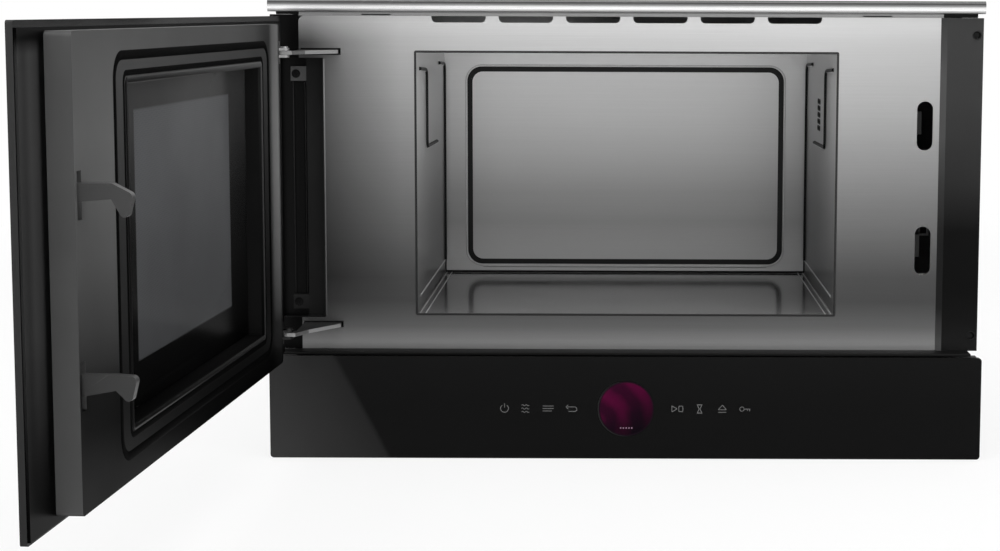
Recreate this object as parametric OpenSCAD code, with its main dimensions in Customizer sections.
/* [Front] */
// Width of the front on each side of the cavity
side_w = 122; // [119:0.5:123]
// Height of the black control panel under the door
panel_h = 88; // [84:1:90]
// Height of the steel under the cavity
sill_h = 31; // [30:0.5:34]
// Height of the front over the cavity
head_h = 44; // [43:0.5:47]
// How far the door and the panel stand out in front of the fascia
front_proud = 21.5; // [21:0.5:24]
// Gap between the door and the panel or the top trim
door_gap = 2.6; // [2:0.2:3.2]
// Distance from the side of the front to the steel, on the hinge side
steel_left = 24.7; // [23:0.1:26]
// Distance from the side of the front to the steel, on the latch side
steel_right = 36; // [34:0.5:38]
// Distance from the side of the front to its screw holes
hole_in = 6.4; // [6:0.1:8]
// Radius of the screw holes
hole_r = 3; // [2.5:0.1:3.2]
/* [Carcass] */
// How far the front stands over the side of the carcass
side_over = 19; // [16:0.5:20]
// How far the front stands over the top of the carcass
top_over = 11; // [8:0.5:12]
// Depth of the space behind the cavity
rear_d = 31; // [29:0.5:40]
// Thickness of the carcass sheet
sheet = 1; // [0.8:0.1:1.2]
// Height of the base plate's rim
rim_h = 8; // [6:0.5:9]
// Thickness of the steel fascia
fascia_t = 1.2; // [1:0.1:1.5]
// Height of the top trim bar
trim_h = 10.5; // [9:0.5:12]
// Depth of the top trim bar
trim_d = 12; // [10:1:14]
// Width of a vent notch over the cavity
vent_w = 45; // [36:1:48]
// Depth of a vent notch
vent_h = 5.3; // [4.5:0.1:6]
/* [Cavity] */
// Inside width of the cavity
cav_w = 350; // [340:1:356]
// Inside height of the cavity
cav_h = 219; // [210:1:222]
// Inside depth of the cavity
cav_d = 266; // [255:1:280]
// Thickness of the cavity wall
cav_t = 1; // [0.8:0.1:1.2]
// Thickness of the glass ceramic floor
floor_t = 4; // [3.5:0.5:5]
// Radius of the stirrer well under the floor
well_r = 105; // [95:1:110]
// Depth of the stirrer well
well_d = 20; // [18:1:22]
// Depth of the pressed groove in the back wall
bead_d = 2; // [1.5:0.5:3]
// Distance from the edge of the back wall to its pressed groove
bead_in = 22; // [18:1:30]
/* [Door] */
// Angle at which the door stands open
door_open = 93.4; // [90:0.2:95]
// Thickness of the outer door glass
glass_t = 4; // [3:0.5:5]
// Distance from the hinge side of the front to the raised inner frame
frame_in = 76; // [74:0.5:80]
// Distance from the latch hooks to the edge of the inner frame
latch_margin = 7; // [6:0.1:8]
// Distance from the door's upper and lower edge to the inner frame
frame_gap = 5.9; // [4.5:0.1:9]
// Thickness of the inner frame's sheet
frame_wall = 1.2; // [1:0.1:1.4]
// Thickness of the sheet that backs the glass
back_sheet = 1.5; // [1:0.1:2]
// Width of the window opening
win_w = 322; // [310:1:326]
// Height of the window opening
win_h = 202; // [196:1:206]
// Width of the metal round the window, up to the outside of the choke groove
choke_w = 25; // [22:0.5:26]
// Width of the choke groove
groove = 4; // [3:0.5:5]
// Depth of the choke groove
cover_t = 2; // [1.5:0.1:2.5]
/* [Hinge] */
// Distance from the side of the front to the hinge pin
pin_in = 21; // [20:0.5:23]
// Radius of the hinge pin
pin_r = 2.5; // [2:0.1:3]
// Running clearance round every pin and shaft
run = 0.05; // [0.03:0.01:0.09]
// Travel of the hinge arm through its slot
arm_travel = 41.6; // [40:0.1:43]
// Thickness of the hinge arm
arm_t = 3; // [2.5:0.1:3.2]
// Width of the hinge arm
arm_w = 31; // [29:0.5:32]
// Distance from the top of the front to the upper hinge arm
arm_down = 43.4; // [42:0.2:46]
// Height of the lower hinge arm over the control panel
arm_up = 21.6; // [20:0.2:24]
/* [Latch] */
// Distance from the side of the front to the latch slots
latch_in = 48; // [46:0.5:52]
// Width of a latch slot
slot_w = 13.2; // [12:0.2:14]
// Height of a latch slot
slot_h = 41; // [38:0.5:44]
// Distance from the top of the front to the upper latch slot
latch_down = 103.5; // [98:0.5:108]
// Height of the lower latch slot over the control panel
latch_up = 85.5; // [80:0.5:90]
// Thickness of a latch hook
hook_t = 6; // [5:0.5:7]
// How far a latch hook stands out behind the door
hook_l = 30; // [27:0.5:32]
// Diameter of a lever's pivot
lever_d = 2.8; // [2.4:0.1:3]
/* [Controls] */
// Diameter of the round display
dial_d = 46.5; // [44:0.5:48]
// Number of touch fields on each side of the display
keys = 4; // [2:1:5]
// Distance between two touch fields
key_pitch = 18.8; // [16:0.2:20]
// Side of a touch field
key_w = 14; // [11:0.5:15]
/* [Fans] */
// Diameter of the cooling fan wheel
fan_d = 84; // [76:1:86]
// Number of fan blades
fan_n = 7; // [5:1:9]
// Diameter of the stirrer
stir_d = 170; // [150:2:180]
// Radius of the shafts that carry the wheel and the stirrer
shaft_r = 3; // [2.5:0.1:3.5]
// Width of the waveguide
duct_b = 80; // [76:1:86]
// Height and thickness of the waveguide
duct_w = 38; // [34:1:42]

/* [Hidden] */
$fn = 48;
eps = 0.01;
fit = 0.3;
// overall sizes
front_w = cav_w + 2 * side_w;
front_h = panel_h + sill_h + cav_h + head_h;
edge = front_w / 2;
half_w = edge - side_over;
body_d = cav_d + cav_t + rear_d;
body_h = front_h - top_over;
front_y = -body_d / 2;
cav_z = panel_h + sill_h;
cav_top = cav_z + cav_h;
cav_x = cav_w / 2;
bay_x = cav_x + cav_t;
cav_back = cav_d + cav_t;
// the fascia
trim_z0 = front_h - trim_h;
steel_x0 = -edge + steel_left;
steel_x1 = edge - steel_right;
steel_z0 = panel_h + 1;
panel_z1 = panel_h - 1.8;
steel_z1 = trim_z0 - 3.3;
vent_x = [for (i = [-2.5:1:2.5]) i * (vent_w + 10.8)];
col_x0 = steel_x1 + 5;
hole_x = edge - hole_in;
hole_z = [panel_h + 14, front_h - 28];
// the door
door_x = edge - 0.4;
door_z0 = panel_h + door_gap;
door_z1 = trim_z0 - door_gap - 1;
door_zc = (door_z0 + door_z1) / 2;
latch_x = edge - latch_in;
frame_y0 = -front_proud + glass_t + back_sheet;
frame_y1 = -1;
frame_x0 = -edge + frame_in;
frame_x1 = latch_x + latch_margin;
frame_z0 = door_z0 + frame_gap;
frame_z1 = door_z1 - frame_gap;
win_x = win_w / 2;
win_z0 = door_zc - win_h / 2;
win_z1 = door_zc + win_h / 2;
seat = 10;
choke_h = choke_w - 7;
groove_y = frame_y1 - cover_t;
// the hinges
pin_x = edge - pin_in;
pin_y = -10;
ear_r = pin_r + 1.7;
hinge_z = [front_h - arm_down, panel_h + arm_up];
arm_slot_x0 = -pin_x + 5;
arm_slot_x1 = arm_slot_x0 + arm_w + 2.4;
arm_slot_h = arm_t + 2.6;
arm_back = 42;
guide_h = arm_t / 2 + 3;
recess_x0 = -edge + 7;
recess_x1 = -pin_x + 23.7;
strip_x = recess_x1 - 15;
recess_d = 11;
recess_z0 = hinge_z[1] + guide_h + 1.5;
recess_z1 = hinge_z[0] - guide_h - 0.7;
pad_z = [recess_z0 + 12.4, recess_z1 - 13.4];
// the latch
latch_z = [front_h - latch_down, panel_h + latch_up];
latch_low_z = latch_z[1];
latch_top_z = latch_z[0];
hook_tip_y = hook_l + frame_y1;
switch_y = hook_tip_y + 2;
board_d = switch_y + 15;
spring_turns = 5;
spring_steps = 14;
spring_r = 2.2;
wire_r = 0.45;
// the controls
dial_z = panel_h / 2 - 1.7;
board_y = -front_proud + glass_t + 6.5;
board_t = 1.6;
board_x = 150;
// the microwave path
duct_y = cav_d / 2 + 1;
well_z = cav_z - floor_t - well_d;
duct_z1 = well_z - cav_t;
duct_z0 = duct_z1 - duct_w;
duct_x = bay_x + 2;
mag_x = duct_x + duct_w;
mag_w = half_w - sheet - 9 - mag_x;
mag_z = cav_z + 95;
mag_r = 18;
fin_n = 7;
// the fan and the boards
fan_box = fan_d + 8;
fan_x = -half_w + sheet + 2 + fan_box / 2;
fan_z = cav_z + 77;
fan_y = cav_back + 1;
inv_x = -half_w + 9.6;
inv_y = cav_d / 3 + 4;
inv_z = cav_z - 1;
inlet_x = half_w - 42;
inlet_z = 40;
lamp_y = duct_y + 8;
lamp_z = cav_top - 54;

// Everything is drawn with its fascia at Y 0 and is then set back to the carcass
module at_front() { translate([0, front_y, 0]) children(); }

// A closed door is turned about the pin, which the arm has carried forward
module swung() {
    translate([-pin_x, pin_y - arm_travel, 0])
        rotate([0, 0, -door_open])
            translate([pin_x, -pin_y, 0]) children();
}

// Box between two corners
module box(a, b) { translate(a) cube(b - a); }

// Upright plate in XZ with rounded corners, from y0 to y1
module plate(x0, x1, z0, z1, y0, y1, r) {
    translate([0, y1, 0]) rotate([90, 0, 0])
        linear_extrude(y1 - y0) rounded(x0, x1, z0, z1, r);
}

// Flat outline with round corners, made of exact arcs
module rounded(x0, x1, z0, z1, r) {
    translate([x0 + r, z0]) square([x1 - x0 - 2 * r, z1 - z0]);
    translate([x0, z0 + r]) square([x1 - x0, z1 - z0 - 2 * r]);
    for (x = [x0 + r, x1 - r], z = [z0 + r, z1 - r]) translate([x, z]) circle(r);
}

// Slot with round ends, standing upright, cut along Y
module upright_slot(x, z, w, h, y0, y1) {
    plate(x - w / 2, x + w / 2, z - h / 2, z + h / 2, y0, y1, w / 2 - eps);
}

// Round bar along Y
module bar_y(x, z, r, y0, y1) { translate([x, y1, z]) rotate([90, 0, 0]) cylinder(h = y1 - y0, r = r); }

// Round bar along X
module bar_x(y, z, r, x0, x1) { translate([x0, y, z]) rotate([0, 90, 0]) cylinder(h = x1 - x0, r = r); }

// Round bar along Z
module bar_z(x, y, r, z0, z1) { translate([x, y, z0]) cylinder(h = z1 - z0, r = r); }

module base_plate() {
    color("silver") at_front() difference() {
        box([-half_w, 0, 0], [half_w, body_d, rim_h]);
        box([-half_w + sheet, sheet, sheet], [half_w - sheet, body_d - sheet, rim_h + 1]);
        for (x = [-160:40:160], y = [60, 90]) box([x - 12, y - 2, -1], [x + 12, y + 2, sheet + 1]);
    }
}

module outer_case() {
    color("lightgrey") at_front() difference() {
        box([-half_w, fascia_t, rim_h], [half_w, body_d - sheet, body_h]);
        box([-half_w + sheet, 0, rim_h - 1], [half_w - sheet, body_d, body_h - sheet]);
        box([-half_w - 1, 0, recess_z0], [0, recess_d, recess_z1]);
        for (i = [0:7])
            box([half_w - 2 * sheet, body_d - 108 + 10 * i, 60], [half_w + 1, body_d - 104 + 10 * i, 110]);
        for (i = [0:11])
            box([-220 + 14 * i, body_d - 88, body_h - 2 * sheet], [-214 + 14 * i, body_d - 38, body_h + 1]);
    }
}

module back_plate() {
    color("silver") at_front() difference() {
        box([-half_w, body_d - sheet, rim_h], [half_w, body_d, body_h]);
        for (i = [-4:4]) {
            half = sqrt(pow(fan_d / 2, 2) - pow(i * 9, 2));
            box([fan_x - half, body_d - 2, fan_z + i * 9 - 2.2],
                [fan_x + half, body_d + 1, fan_z + i * 9 + 2.2]);
        }
        box([inlet_x - 14 - fit, body_d - 2, inlet_z - 10 - fit],
            [inlet_x + 14 + fit, body_d + 1, inlet_z + 10 + fit]);
    }
}

module fascia() {
    color("silver") at_front() difference() {
        union() {
            plate(steel_x0, steel_x1, steel_z0, steel_z1, 0, fascia_t, 5);
            box([steel_x1 - 10, 0, steel_z0], [steel_x1, fascia_t, steel_z1]);
            box([steel_x0, 0, steel_z0], [steel_x0 + 10, fascia_t, steel_z0 + 10]);
        }
        box([-cav_x, -1, cav_z], [cav_x, 3, cav_top]);
        box([steel_x0 - 1, -1, recess_z0], [recess_x1, 3, recess_z1]);
        for (z = hinge_z) arm_slot(z);
        for (z = latch_z) upright_slot(latch_x, z, slot_w, slot_h, -1, 3);
        for (x = vent_x) vent(x);
    }
}

// Vent notch in the top edge with round lower corners
module vent(x) { plate(x - vent_w / 2, x + vent_w / 2, steel_z1 - vent_h, steel_z1 + 5, -1, 3, 4); }

module arm_slot(z) { box([arm_slot_x0, -1, z - arm_slot_h / 2], [arm_slot_x1, 20, z + arm_slot_h / 2]); }

module top_trim() {
    r = 3;
    color("gainsboro") at_front() {
        translate([-edge, 0, 0]) rotate([90, 0, 90]) linear_extrude(front_w) {
            translate([r - 6, trim_z0]) square([trim_d - r, trim_h]);
            translate([-6, trim_z0 + r]) square([r, trim_h - 2 * r]);
            for (z = [trim_z0 + r, front_h - r]) translate([r - 6, z]) circle(r);
        }
        difference() {
            box([-half_w + 6, 0, steel_z1], [half_w - 6, fascia_t, trim_z0 + 1]);
            for (s = [-1, 1]) box([s * 208 - 12, -1, steel_z1 + 0.6], [s * 208 + 12, 3, steel_z1 + 1.6]);
        }
    }
}

module right_column() {
    color("#1c1c1c") at_front() difference() {
        translate([0, 0, steel_z0]) linear_extrude(steel_z1 - steel_z0)
            polygon([[steel_x1, 0], [col_x0, -2.5], [edge - 1, -2.5], [edge - 1, 12],
                [half_w + fit, 12], [half_w + fit, fascia_t], [steel_x1, fascia_t]]);
        for (z = hole_z) bar_y(hole_x, z, hole_r, -5, 15);
    }
}

module left_column() {
    color("#161616") at_front() difference() {
        box([-edge + 1, 0, steel_z0], [steel_x0, 12, steel_z1 + 1]);
        box([-half_w - fit, fascia_t, 0], [0, 20, front_h]);
        box([recess_x0, -1, recess_z0], [0, 20, recess_z1]);
        for (z = hinge_z) arm_slot(z);
        for (z = hole_z) bar_y(-hole_x, z, hole_r, -5, 15);
    }
}

// Folded tray between the hinge slots, with a raised strip along its right side
module hinge_channel() {
    color("#202020") at_front() difference() {
        box([recess_x0, 0, recess_z0], [recess_x1, recess_d, recess_z1]);
        box([recess_x0 + sheet, -1, recess_z0 + sheet], [strip_x, recess_d - sheet, recess_z1 - sheet]);
        box([strip_x - 1, -1, recess_z0 + sheet], [recess_x1 - sheet, recess_d - 5, recess_z1 - sheet]);
    }
}

// Square pads in the tray, each with a blind hole
module adjuster_pads() {
    color("dimgray") at_front() for (z = pad_z) difference() {
        box([strip_x - 13, recess_d - sheet - 4, z - 6], [strip_x, recess_d - sheet, z + 6]);
        bar_y(strip_x - 7.5, z, 2.6, 0, recess_d - sheet - 0.6);
    }
}

module cavity_left() {
    color("darkgrey") at_front()
        box([-bay_x, fascia_t, cav_z - floor_t], [-cav_x, cav_back, cav_top + cav_t]);
}

// The right wall has a patch of small holes for the lamp
module cavity_right() {
    color("darkgrey") at_front() difference() {
        box([cav_x, fascia_t, cav_z - floor_t], [bay_x, cav_back, cav_top + cav_t]);
        for (i = [0:3], j = [0:4]) bar_x(lamp_y - 9 + 6 * i, lamp_z - 16 + 6 * j, 1.5, cav_x - 1, bay_x + 1);
    }
}

module cavity_top() {
    color("darkgrey") at_front() box([-cav_x, fascia_t, cav_top], [cav_x, cav_back, cav_top + cav_t]);
}

// The back wall stands forward by the depth of its bead, save along the pressed groove
module cavity_back() {
    z0 = cav_z + 8;
    z1 = cav_top - 19;
    x = cav_x - bead_in;
    y = cav_d - bead_d - 1;
    color("darkgrey") at_front() difference() {
        box([-cav_x, cav_d - bead_d, cav_z - floor_t], [cav_x, cav_back, cav_top]);
        difference() {
            plate(-x, x, z0, z1, y, cav_d, 14);
            plate(-x + 5, x - 5, z0 + 5, z1 - 5, y - 1, cav_back, 10);
        }
    }
}

// Floor pan with the round well for the stirrer
module cavity_base() {
    color("darkgrey") at_front() difference() {
        union() {
            box([-bay_x, fascia_t, cav_z - floor_t - cav_t], [bay_x, cav_back, cav_z - floor_t]);
            translate([0, duct_y, well_z - cav_t]) cylinder(h = well_d + cav_t / 2, r = well_r + cav_t);
        }
        translate([0, duct_y, well_z]) cylinder(h = well_d + 2, r = well_r);
        bar_z(0, duct_y, 14, well_z - 5, well_z + 1);
    }
}

module cavity_flange() {
    y1 = 2 * fascia_t;
    color("silver") at_front() difference() {
        box([-bay_x - 12, fascia_t, cav_z - 17], [bay_x + 12, y1, cav_top + 13]);
        box([-bay_x - fit, 0, cav_z - floor_t - cav_t - fit], [bay_x + fit, y1 + 1, cav_top + cav_t + fit]);
    }
}

module ceramic_floor() {
    color("#4a4a4a") at_front()
        box([-cav_x + 3, 3, cav_z - floor_t], [cav_x - 3, cav_d - bead_d - 3, cav_z - 0.4]);
}

module floor_seal() {
    color("#303030") at_front() difference() {
        box([-cav_x, fascia_t, cav_z - floor_t], [cav_x, cav_d - bead_d, cav_z - 0.2]);
        box([-cav_x + 3, 3, cav_z - floor_t - 1], [cav_x - 3, cav_d - bead_d - 3, cav_z]);
    }
}

// The stirrer turns in the well on its motor's shaft
module stirrer() {
    z = well_z + 9;
    color("gainsboro") at_front() translate([0, duct_y, 0]) {
        difference() {
            union() {
                translate([0, 0, z]) cylinder(h = 1.2, r = 34);
                for (i = [0:2]) rotate([0, 0, i * 120]) box([0, -14, z], [stir_d / 2, 14, z + 1.2]);
                translate([0, 0, z - 8]) cylinder(h = 12, r = 6);
            }
            translate([0, 0, z - 9]) cylinder(h = 11, r = shaft_r + run);
            for (i = [0:2]) rotate([0, 0, i * 120]) box([44, -5, z - 1], [70, 5, z + 2]);
        }
    }
}

module stirrer_motor() {
    top = duct_z0 - 1;
    color("goldenrod") at_front() translate([0, duct_y, 0]) {
        translate([0, 0, top - 16]) cylinder(h = 16, r = 24);
        translate([0, 0, top - 1]) cylinder(h = well_z + 9.5 - top + 1, r = shaft_r);
        box([-33, -6, top - 2], [33, 6, top]);
        box([-33, -6, sheet], [-29, 6, top - 1]);
        box([29, -6, sheet], [33, 6, top - 1]);
    }
}

// Rectangular tube from the magnetron down the right bay and along under the floor
module waveguide() {
    y0 = duct_y - duct_b / 2;
    y1 = duct_y + duct_b / 2;
    z1 = mag_z + 54;
    color("silver") at_front() difference() {
        union() {
            box([-36, y0, duct_z0], [mag_x, y1, duct_z1]);
            box([duct_x, y0, duct_z0], [mag_x, y1, z1]);
        }
        box([-36 + sheet, y0 + sheet, duct_z0 + sheet], [mag_x - sheet, y1 - sheet, duct_z1 - sheet]);
        box([duct_x + sheet, y0 + sheet, duct_z0 + sheet], [mag_x - sheet, y1 - sheet, z1 - sheet]);
        bar_z(0, duct_y, 14, duct_z1 - sheet - 1, duct_z1 + 1);
        bar_z(0, duct_y, shaft_r + 1, duct_z0 - 1, duct_z0 + sheet + 1);
        bar_x(duct_y, mag_z, 16, mag_x - sheet - 1, mag_x + 1);
    }
}

module magnetron() {
    x1 = mag_x + mag_w;
    color("lightsteelblue") at_front() {
        bar_x(duct_y, mag_z, 12, mag_x - 22, mag_x + 2);
        box([mag_x, duct_y - 40, mag_z - 34], [mag_x + 1, duct_y + 40, mag_z + 34]);
        difference() {
            box([mag_x + 1, duct_y - 44, mag_z - 38], [x1, duct_y + 44, mag_z + 38]);
            box([mag_x + 3, duct_y - 45, mag_z - 36], [x1 - 2, duct_y + 45, mag_z + 36]);
        }
        bar_x(duct_y, mag_z, mag_r, mag_x + 1, x1 - 1);
    }
}

module magnetron_fins() {
    pitch = (mag_w - 5) / (fin_n + 1);
    color("gainsboro") at_front() difference() {
        for (i = [1:fin_n]) box([mag_x + 3 + pitch * i, duct_y - 40, mag_z - 36],
            [mag_x + 3.6 + pitch * i, duct_y + 40, mag_z + 36]);
        bar_x(duct_y, mag_z, mag_r + fit, mag_x, mag_x + mag_w);
    }
}

module inverter_board() {
    color("darkgreen") at_front() {
        box([inv_x - 1.6, inv_y, inv_z], [inv_x, inv_y + 113, inv_z + 182]);
        for (y = [6, 107], z = [6, 176]) bar_x(inv_y + y, inv_z + z, 3, -half_w + sheet, inv_x - 1.6);
    }
}

module inverter_transformer() {
    z = inv_z + 143;
    color("orangered") at_front() {
        box([inv_x, inv_y + 12, z - 25], [inv_x + 36.4, inv_y + 32, z + 25]);
        box([inv_x, inv_y + 56, z - 25], [inv_x + 36.4, inv_y + 76, z + 25]);
        bar_y(inv_x + 18.4, z, 17, inv_y + 32, inv_y + 56);
    }
}

module heat_sink() {
    y0 = inv_y + 12;
    z0 = inv_z + 22;
    color("silver") at_front() {
        box([inv_x, y0, z0], [inv_x + 4.4, y0 + 86, z0 + 82]);
        for (i = [0:10]) box([inv_x + 4, y0, z0 + 1 + 7.8 * i], [inv_x + 36.4, y0 + 86, z0 + 2.4 + 7.8 * i]);
    }
}

module fan_housing() {
    color("#2b2b2b") at_front() difference() {
        box([fan_x - fan_box / 2, fan_y, fan_z - fan_box / 2],
            [fan_x + fan_box / 2, body_d - sheet, fan_z + fan_box / 2]);
        bar_y(fan_x, fan_z, fan_d / 2 + 1.5, fan_y - 1, body_d);
    }
    color("#2b2b2b") at_front() difference() {
        for (a = [0:60:120]) translate([fan_x, fan_y, fan_z]) rotate([0, a, 0])
            box([-fan_d / 2 - 2, 0, -4], [fan_d / 2 + 2, 2, 4]);
        bar_y(fan_x, fan_z, shaft_r + fit, fan_y - 1, body_d);
    }
}

module fan_motor() {
    color("dimgray") at_front() {
        bar_y(fan_x, fan_z, 15, fan_y - 8, fan_y);
        bar_y(fan_x, fan_z, shaft_r, fan_y - 1, fan_y + 16);
    }
}

module fan_wheel() {
    color("#3c3c3c") at_front() translate([fan_x, fan_y + 4, fan_z]) rotate([-90, 0, 0]) difference() {
        union() {
            cylinder(h = 18, r = 15);
            for (i = [0:fan_n - 1]) rotate([0, 0, i * 360 / fan_n]) translate([14, 0, 9]) rotate([35, 0, 0])
                box([0, -9, -0.8], [fan_d / 2 - 14, 9, 0.8]);
        }
        translate([0, 0, -1]) cylinder(h = 14, r = shaft_r + run);
    }
}

module air_duct() {
    z0 = fan_z - 36;
    z1 = fan_z + 36;
    y0 = fan_y;
    x1 = half_w - 8;
    color("whitesmoke") at_front() difference() {
        box([fan_x + fan_box / 2, y0, z0], [x1, body_d - sheet, z1]);
        box([fan_x + fan_box / 2 - 1, y0 + 1.5, z0 + 1.5], [x1 - 1.5, body_d - sheet - 1.5, z1 - 1.5]);
        box([x1 - 60, y0 - 1, z0 + 6], [x1 - 6, y0 + 2, z1 - 6]);
    }
}

module filter_board() {
    x = inlet_x;
    y = body_d - 60;
    color("darkgreen") at_front() {
        box([x - 40, y - 23, 10], [x + 32, y + 24, 11.6]);
        for (a = [-34, 26], b = [-17, 18]) bar_z(x + a, y + b, 2.5, sheet, 10);
    }
    color("khaki") at_front() {
        bar_z(x - 22, y, 11, 11.6, 28);
        box([x - 4, y - 10, 11.6], [x + 8, y + 12, 26]);
    }
}

module power_inlet() {
    color("#222222") at_front() difference() {
        union() {
            box([inlet_x - 14, body_d - 18, inlet_z - 10], [inlet_x + 14, body_d, inlet_z + 10]);
            box([inlet_x - 18, body_d, inlet_z - 14], [inlet_x + 18, body_d + 2, inlet_z + 14]);
        }
        box([inlet_x - 12, body_d - 15, inlet_z - 8], [inlet_x + 12, body_d + 3, inlet_z + 8]);
    }
    color("gold") at_front() for (x = [-7, 0, 7])
        box([inlet_x + x - 1, body_d - 16, inlet_z - 2], [inlet_x + x + 1, body_d - 4, inlet_z + 2]);
}

module thermal_cutouts() {
    color("ivory") at_front() {
        bar_z(-60, duct_y - 14, 8, cav_top + cav_t, cav_top + cav_t + 9);
        bar_z(90, duct_y + 46, 8, cav_top + cav_t, cav_top + cav_t + 9);
    }
}

module lamp() {
    color("lightyellow") at_front() {
        box([bay_x, lamp_y - 27, lamp_z - 15], [bay_x + 1.6, lamp_y + 27, lamp_z + 16]);
        for (y = [-15, 0, 15])
            box([bay_x + 1.6, lamp_y + y - 3, lamp_z - 3], [bay_x + 3, lamp_y + y + 3, lamp_z + 3]);
    }
}

module control_glass() {
    color("#141414") at_front() difference() {
        plate(-edge, edge, 0, panel_z1, -front_proud, -front_proud + glass_t, 3);
        bar_y(0, dial_z, dial_d / 2 + fit, -front_proud - 1, 0);
    }
}

module control_carrier() {
    y0 = -front_proud + glass_t;
    color("#262626") at_front() difference() {
        box([-edge + 2, y0, 1.5], [edge - 2, 0, panel_z1 - 1.5]);
        box([-edge + 5, y0 + 3, 4.5], [edge - 5, 1, panel_z1 - 4.5]);
        bar_y(0, dial_z, dial_d / 2 + 1.5, y0 - 1, y0 + 4);
        for (s = [-1, 1], i = [0:keys - 1])
            key_field(s * key_x(i), key_w + 0.8, y0 - 1, y0 + 1.6);
    }
}
function key_x(i) = dial_d / 2 + 21.2 + i * key_pitch;

module control_board() {
    y1 = board_y + board_t;
    color("darkgreen") at_front() difference() {
        union() {
            box([-board_x, board_y, 12], [board_x, y1, panel_h - 14]);
            for (s = [-1, 1], z = [18, panel_h - 20])
                bar_y(s * (board_x - 6), z, 3, board_y - 3.5, board_y + 0.5);
            box([60, y1, dial_z - 12], [84, y1 + 6, dial_z + 12]);
            box([-96, y1, dial_z - 18], [-64, y1 + 7, dial_z - 2]);
        }
        bar_y(0, dial_z, dial_d / 2 + 1.5, board_y - 1, y1 + 1);
    }
}

module display() {
    y0 = board_y + board_t;
    color("#5a0a3c") at_front() {
        bar_y(0, dial_z, dial_d / 2, -front_proud - 0.5, y0 + 0.1);
        difference() {
            bar_y(0, dial_z, dial_d / 2 + 8, y0, y0 + 2);
            bar_y(0, dial_z, dial_d / 2 - 4, y0 + 1, 0);
        }
    }
}

module touch_sensors() {
    y0 = -front_proud + glass_t;
    color("silver") at_front() for (s = [-1, 1], i = [0:keys - 1])
        key_field(s * key_x(i), key_w, y0, y0 + 1.6);
}

// Square touch field with round corners
module key_field(x, w, y0, y1) { plate(x - w / 2, x + w / 2, dial_z - w / 2, dial_z + w / 2, y0, y1, 2); }

// Plastic board behind the latch slots, with a ledge under each hook
module latch_board() {
    x0 = latch_x - 16;
    x1 = latch_x + 17;
    z0 = latch_low_z - 40;
    z1 = latch_top_z + 40;
    color("#3a3a3a") at_front() difference() {
        box([x0, fascia_t, z0], [x1, board_d, z1]);
        box([x0 + 2, fascia_t + 2, z0 + 2], [x1 + 1, board_d + 1, z1 - 2]);
        for (z = latch_z) upright_slot(latch_x, z, slot_w + 1, slot_h + 1, 0, 5);
    }
    color("#3a3a3a") at_front() for (z = latch_z)
        box([x0 + 1, fascia_t + 1, z - slot_h / 2 - 3], [x1, 20, z - slot_h / 2 - 1]);
}

module micro_switches() {
    x0 = latch_x - 14;
    color("#101010") at_front() for (z = latch_z) {
        difference() {
            box([x0, switch_y + 3, z - 14], [x0 + 10, board_d - 2, z + 14]);
            bar_x(switch_y + 7, z + 9, lever_d / 2 + run, x0 - 1, latch_x);
        }
        box([x0, board_d - 2, z - 10], [x0 + 6, board_d, z + 10]);
    }
}

// Sprung lever in front of each switch
module switch_lever(z) {
    x0 = latch_x - 3.6;
    x1 = latch_x + 2;
    color("chocolate") at_front() {
        bar_x(switch_y + 7, z + 9, lever_d / 2, latch_x - 13, x1);
        box([x0, switch_y + 0.6, z - 9], [x1, switch_y + 2, z + 10]);
        box([x0, switch_y + 1, z + 7.6], [x1, switch_y + 7, z + 10.3]);
    }
}
module switch_lever_upper() { switch_lever(latch_top_z); }
module switch_lever_lower() { switch_lever(latch_low_z); }

// Open box in which an arm slides, behind its slot
module hinge_guides() {
    x0 = arm_slot_x0 - 2.4;
    x1 = arm_slot_x1 + 2.4;
    y1 = arm_back + arm_travel + 2.4;
    h = arm_t / 2 + 0.15;
    color("dimgray") at_front() for (z = hinge_z) difference() {
        box([x0, fascia_t, z - guide_h], [x1, y1 + 2, z + guide_h]);
        box([arm_slot_x0, 0, z - h], [arm_slot_x1, y1, z + h]);
        box([x0 + 8, 16, z], [x1 - 8, y1 - 10, z + guide_h + 1]);
    }
}

// Flat arm with the eye of the door's pin at its front end, drawn with the door open
module hinge_arm(z) {
    x0 = arm_slot_x0 + 1;
    y = pin_y - arm_travel;
    color("silver") at_front() difference() {
        union() {
            box([x0, -1, z - arm_t / 2], [x0 + arm_w, arm_back, z + arm_t / 2]);
            translate([0, 0, z - arm_t / 2]) linear_extrude(arm_t)
                polygon([[-pin_x, y - ear_r], [x0 + 1, y - ear_r], [x0 + 9, -38], [x0 + arm_w, -6],
                    [x0 + arm_w, 0], [x0, 0], [x0, y + 8], [-pin_x, y + ear_r]]);
            bar_z(-pin_x, y, ear_r, z - arm_t / 2, z + arm_t / 2);
        }
        bar_z(-pin_x, y, pin_r + run, z - 5, z + 5);
        for (b = [10, 30]) bar_z(x0 + arm_w / 2, b, 3.5, z - 5, z + 5);
    }
}
module hinge_arm_upper() { hinge_arm(hinge_z[0]); }
module hinge_arm_lower() { hinge_arm(hinge_z[1]); }

module door_glass() {
    color("#0c0c0c") at_front() swung()
        plate(-door_x, door_x, door_z0, door_z1, -front_proud, -front_proud + glass_t, 2);
}

module door_back_sheet() {
    y0 = -front_proud + glass_t;
    color("#2a2a2a") at_front() swung() difference() {
        box([-door_x + 6, y0, door_z0 + 2], [door_x - 1.2, y0 + back_sheet, door_z1 - 4]);
        box([-win_x + seat, y0 - 1, win_z0 + seat], [win_x - seat, 0, win_z1 - seat]);
    }
}

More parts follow.
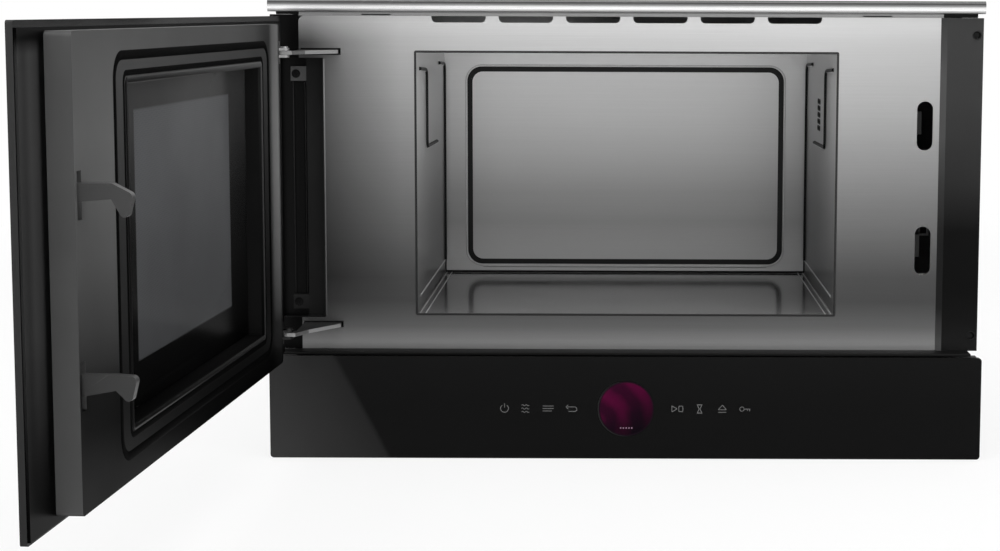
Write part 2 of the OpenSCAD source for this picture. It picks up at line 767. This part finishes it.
// Hollow raised frame with a window, and a groove round the choke cover
module door_frame() {
    w = frame_wall;
    color("#454545") at_front() swung() difference() {
        plate(frame_x0, frame_x1, frame_z0, frame_z1, frame_y0, frame_y1, 3);
        difference() {
            plate(frame_x0 + w, frame_x1 - w, frame_z0 + w, frame_z1 - w, frame_y0 - 1, groove_y - w, 2);
            box([-win_x - 2, frame_y0 - 2, win_z0 - 2], [win_x + 2, 0, win_z1 + 2]);
        }
        box([-win_x, -30, win_z0], [win_x, 0, win_z1]);
        plate(-win_x - choke_w, win_x + choke_w, win_z0 - choke_h, win_z1 + choke_h, groove_y, 1, 14);
        for (z = latch_z) box([latch_x - hook_t / 2 - 0.6, groove_y - 2, z - 19],
            [latch_x + hook_t / 2 + 0.6, 1, z + 8]);
    }
}

module choke_cover() {
    x1 = win_x + choke_w - groove;
    z = choke_h - groove;
    color("#3d3d3d") at_front() swung() difference() {
        plate(-x1, x1, win_z0 - z, win_z1 + z, groove_y, frame_y1, 14 - groove);
        box([-win_x, -30, win_z0], [win_x, 1, win_z1]);
    }
}

module window_mesh() { color("#5c5e60") at_front() swung() pane(frame_y0, 1); }

module window_glass() { color("#303234") at_front() swung() pane(frame_y0 + 1, 3); }

// Sheet that fills the window from the plane y0
module pane(y0, t) { box([-win_x + fit, y0, win_z0 + fit], [win_x - fit, y0 + t, win_z1 - fit]); }

// Fork on the door that holds each pin above and below its arm
module hinge_brackets() {
    y0 = frame_y0;
    t = arm_t / 2 + fit;
    color("silver") at_front() swung() for (z = hinge_z) difference() {
        union() {
            box([-pin_x - 7, y0, z - 9], [frame_x0, y0 + 1.2, z + 9]);
            for (s = [-1, 1]) hull() {
                bar_z(-pin_x, pin_y, 4.5, z + s * t + (s - 1), z + s * t + (s + 1));
                box([-pin_x - 4.5, y0, z + s * t + (s - 1)], [-pin_x + 7, y0 + 1, z + s * t + (s + 1)]);
            }
        }
        bar_z(-pin_x, pin_y, pin_r, z - 20, z + 20);
    }
}

module hinge_pins() {
    color("gainsboro") at_front() swung() for (z = hinge_z) {
        bar_z(-pin_x, pin_y, pin_r, z - arm_t / 2 - fit - 2, z + arm_t / 2 + fit + 2);
        bar_z(-pin_x, pin_y, pin_r + 1, z + arm_t / 2 + fit + 2, z + arm_t / 2 + fit + 3.2);
    }
}

// Both hooks hang from one sliding plate inside the door
module latch_hooks() {
    x0 = latch_x - hook_t / 2;
    x1 = latch_x + hook_t / 2;
    color("#4c4c4c") at_front() swung() {
        box([x0, frame_y0 + 1, latch_low_z - 26], [x1, frame_y1 - cover_t - 2, latch_top_z + 20]);
        for (z = latch_z) {
            slant = z == latch_top_z ? 4 : 0;
            hull() {
                box([x0, frame_y1 - cover_t - 3, z - 11 + slant / 2], [x1, frame_y1 - cover_t, z + 1.5]);
                box([x0, hook_tip_y - 12, z - 7], [x1, hook_tip_y - 11, z + 1.5]);
            }
            hull() {
                bar_x(hook_tip_y - 3, z - 2 - slant, 3, x0, x1);
                bar_x(hook_tip_y - 4.5, z - 10.5 - slant, 2.5, x0, x1);
                box([x0, hook_tip_y - 12, z - 6.5], [x1, hook_tip_y - 11, z + 1.5]);
            }
        }
    }
}

module latch_housing() {
    half = latch_margin - frame_wall - 0.2;
    slot = hook_t / 2 + fit;
    color("#202020") at_front() swung() difference() {
        box([latch_x - half, frame_y0, latch_low_z - 40], [latch_x + half, frame_y0 + 9, latch_top_z + 34]);
        box([latch_x - slot, frame_y0 + 0.6, latch_low_z - 38],
            [latch_x + slot, frame_y0 + 10, latch_top_z + 30]);
    }
}

// Wire of six sides, wound up along Z from the housing to the sliding plate
module latch_spring() {
    n = spring_turns * spring_steps;
    z0 = latch_low_z - 38;
    rise = 12 - 2 * wire_r;
    ring = [for (i = [0:n], j = [0:5]) let (a = i * 360 / spring_steps, b = j * 60)
        [(spring_r + wire_r * cos(b)) * cos(a), (spring_r + wire_r * cos(b)) * sin(a),
            wire_r + rise * i / n + wire_r * sin(b)]];
    side = [for (i = [0:n - 1], j = [0:5]) let (k = (j + 1) % 6)
        each [[6 * i + j, 6 * i + k, 6 * i + 6 + k], [6 * i + j, 6 * i + 6 + k, 6 * i + 6 + j]]];
    start = [for (j = [1:4]) [0, j + 1, j]];
    finish = [for (j = [1:4]) [6 * n, 6 * n + j, 6 * n + j + 1]];
    color("silver") at_front() swung() translate([latch_x, frame_y0 + 5, z0])
        polyhedron(points = ring, faces = concat(side, start, finish));
}

// Sheet under the steel fascia, behind the control panel
module front_crossbar() {
    color("#181818") at_front() box([-half_w, 0, rim_h], [half_w, fascia_t, steel_z0]);
}

module case_screws() {
    color("silver") at_front() {
        for (s = [-1, 1], y = [60, body_d - 58], z = [30, body_h - 31])
            bar_x(y, z, 3.5, s > 0 ? half_w : -half_w - 1.6, s > 0 ? half_w + 1.6 : -half_w);
        for (s = [-1, 1], x = [80, half_w - 38]) bar_y(s * x, body_h - 11, 3.5, body_d, body_d + 1.6);
    }
}

base_plate();
outer_case();
back_plate();
fascia();
top_trim();
right_column();
left_column();
hinge_channel();
adjuster_pads();
cavity_left();
cavity_right();
cavity_top();
cavity_back();
cavity_base();
cavity_flange();
ceramic_floor();
floor_seal();
stirrer();
stirrer_motor();
waveguide();
magnetron();
magnetron_fins();
inverter_board();
inverter_transformer();
heat_sink();
fan_housing();
fan_wheel();
fan_motor();
air_duct();
filter_board();
power_inlet();
thermal_cutouts();
lamp();
control_glass();
control_carrier();
control_board();
display();
touch_sensors();
latch_board();
micro_switches();
switch_lever_upper();
switch_lever_lower();
hinge_guides();
hinge_arm_upper();
hinge_arm_lower();
door_glass();
door_back_sheet();
door_frame();
choke_cover();
window_mesh();
window_glass();
hinge_brackets();
hinge_pins();
latch_hooks();
latch_housing();
latch_spring();
case_screws();
front_crossbar();
